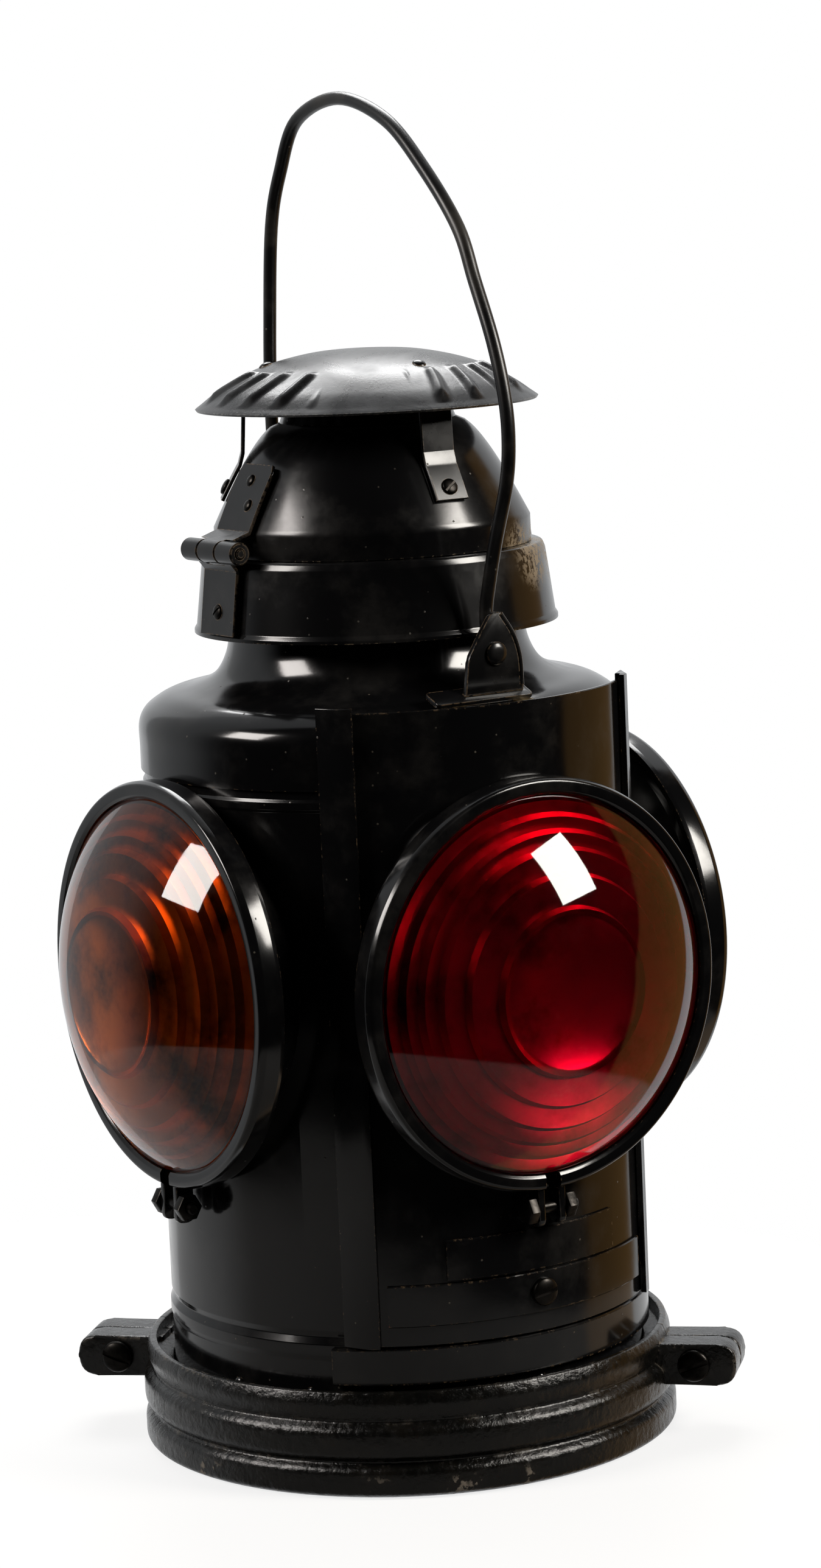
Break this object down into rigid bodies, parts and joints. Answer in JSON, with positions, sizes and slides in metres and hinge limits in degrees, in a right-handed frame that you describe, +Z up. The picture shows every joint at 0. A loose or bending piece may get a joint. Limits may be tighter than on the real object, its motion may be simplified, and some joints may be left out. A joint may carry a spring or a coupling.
{
  "type": "railway switch lamp",
  "caption": "Oil-burning railway signal lamp: black sheet-metal body with domed red and amber lenses, sliding door, hinged ventilated hood, wire bail and a split cast base ring.",
  "frame": {"origin": "centre of the cast base ring's underside", "axes": "+Z up the lamp, -Y out of the sliding door and its red lens, -X out of an amber lens and towards the hood's hinge"},
  "size_m": [0.243, 0.243, 0.4774],
  "materials": {
    "black_enamel": "gloss",
    "cast_iron_black": "satin",
    "dusty_black": "satin",
    "red_glass": "gloss",
    "amber_glass": "gloss",
    "steel": "satin",
    "brass": "satin",
    "tinplate": "satin",
    "wick_cotton": "matte"
  },
  "bodies": {
    "lamp": {"base_ring_front": "cast_iron_black", "base_ring_rear": "cast_iron_black", "lug_screw_left": "steel", "lug_screw_right": "steel", "lug_nut_left": "steel", "lug_nut_right": "steel", "hinge_pin": "steel", "clamp_bolt_left": "steel", "clamp_bolt_right": "steel", "clamp_bolt_rear": "steel", "clamp_nut_left": "steel", "clamp_nut_right": "steel", "clamp_nut_rear": "steel", "base_pan": "black_enamel", "body_shell": "black_enamel", "body_top": "black_enamel", "hood_skirt": "black_enamel", "door_guide_left": "black_enamel", "door_guide_right": "black_enamel", "door_sill": "black_enamel", "hinge_leaf_lower": "black_enamel", "bail_ear_front": "black_enamel", "bail_ear_rear": "black_enamel", "lens_cup_left": "black_enamel", "lens_cup_right": "black_enamel", "lens_cup_rear": "black_enamel", "lens_bezel_left": "black_enamel", "lens_bezel_right": "black_enamel", "lens_bezel_rear": "black_enamel", "lens_glass_rear": "red_glass", "lens_glass_left": "amber_glass", "lens_glass_right": "amber_glass", "fount_spring": "brass", "burner": "brass", "oil_fount": "tinplate", "draught_tube": "tinplate"},
    "door": {"door_panel": "black_enamel", "door_strip": "black_enamel", "name_plate": "black_enamel", "door_screw": "steel", "lens_cup_door": "black_enamel", "lens_glass_door": "red_glass", "lens_bezel_door": "black_enamel", "clamp_bolt_door": "steel", "clamp_nut_door": "steel"},
    "hood": {"hood_dome": "black_enamel", "hood_cap": "dusty_black", "cap_leg_1": "dusty_black", "cap_leg_2": "dusty_black", "cap_leg_3": "dusty_black", "hinge_leaf_upper": "black_enamel"},
    "latch": {"hood_latch": "black_enamel"},
    "bail": {"bail_wire": "black_enamel"},
    "wick_raiser": {"wick_spindle": "brass", "wick_knob": "brass"},
    "wick": {"wick": "wick_cotton"},
    "filler_cap": {"filler_cap": "brass"}
  },
  "joints": [
    {"name": "door_slide", "type": "slide", "parent": "lamp", "child": "door", "axis": [0, 0, 1], "range_m": [0, 0.045]},
    {"name": "hood_hinge", "type": "hinge", "parent": "lamp", "child": "hood", "pos_m": [-0.0647, 0, 0.3222], "axis": [0, -1, 0], "range_deg": [0, 100]},
    {"name": "latch_spring", "type": "hinge", "parent": "hood", "child": "latch", "pos_m": [0.05744, 0, 0.32825], "axis": [0, -1, 0], "range_deg": [0, 4]},
    {"name": "bail_swing", "type": "hinge", "parent": "lamp", "child": "bail", "pos_m": [0, 0, 0.286], "axis": [0, 1, 0], "range_deg": [-40, 40]},
    {"name": "wick_raiser", "type": "hinge", "parent": "lamp", "child": "wick_raiser", "pos_m": [0, 0.00835, 0.1226], "axis": [-1, 0, 0], "range_deg": [-85, 85]},
    {"name": "wick_lift", "type": "slide", "parent": "lamp", "child": "wick", "axis": [0, 0, 1], "range_m": [-0.00534, 0.00534]},
    {"name": "filler_cap_turn", "type": "hinge", "parent": "lamp", "child": "filler_cap", "pos_m": [-0.029, 0, 0.1003], "axis": [0, 0, 1], "continuous": true}
  ],
  "couplings": [
    {"joint": "wick_lift", "follows": "wick_raiser", "m_per_rad": 0.0036}
  ]
}
